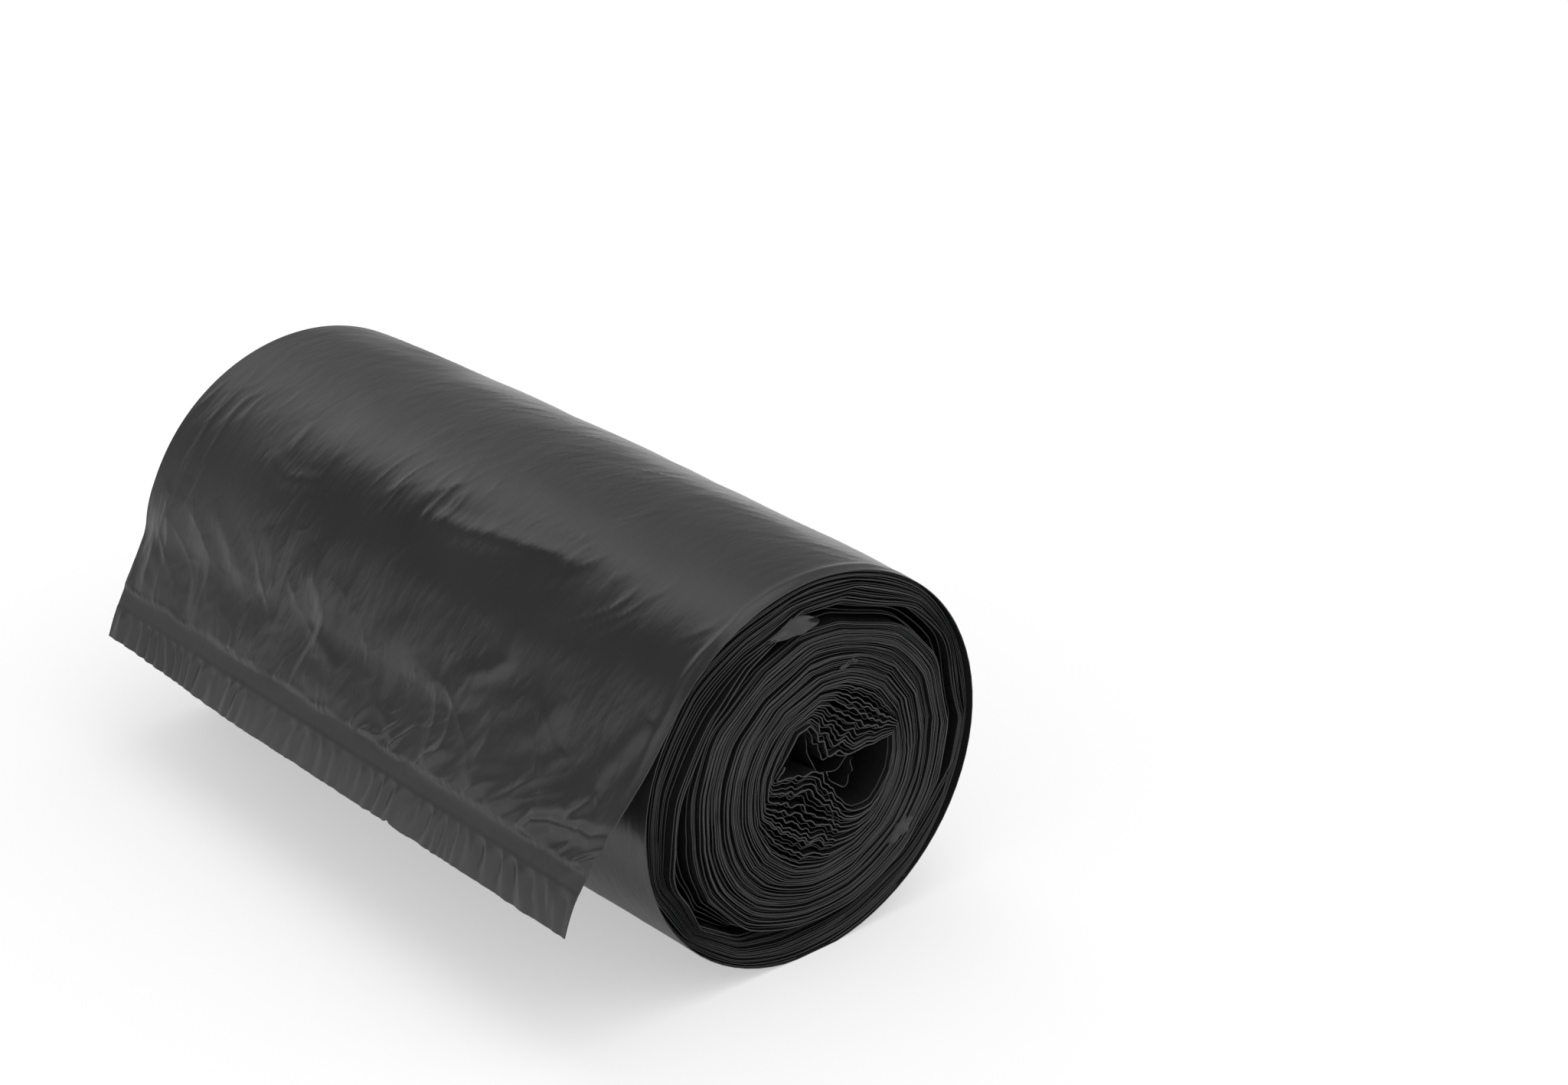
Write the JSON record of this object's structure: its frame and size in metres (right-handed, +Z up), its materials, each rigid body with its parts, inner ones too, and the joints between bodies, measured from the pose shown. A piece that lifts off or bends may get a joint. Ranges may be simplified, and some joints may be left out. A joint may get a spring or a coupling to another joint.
{
  "type": "bin bag roll",
  "caption": "Coreless roll of folded black film refuse bags lying on its side, crumpled open centre, loose outer end with a heat seal and gathered edge.",
  "frame": {"origin": "middle of the flat spot that the roll lies on, half way along its length", "axes": "+Y along the roll from the front end to the back end, +Z up, +X to the right seen from the front end; the loose outer end hangs off at -X"},
  "size_m": [0.141, 0.23, 0.11],
  "materials": {
    "black_film": "soft satin black polyethylene film, finely wrinkled"
  },
  "bodies": {
    "root": {"bag_roll": "black_film"}
  },
  "joints": []
}
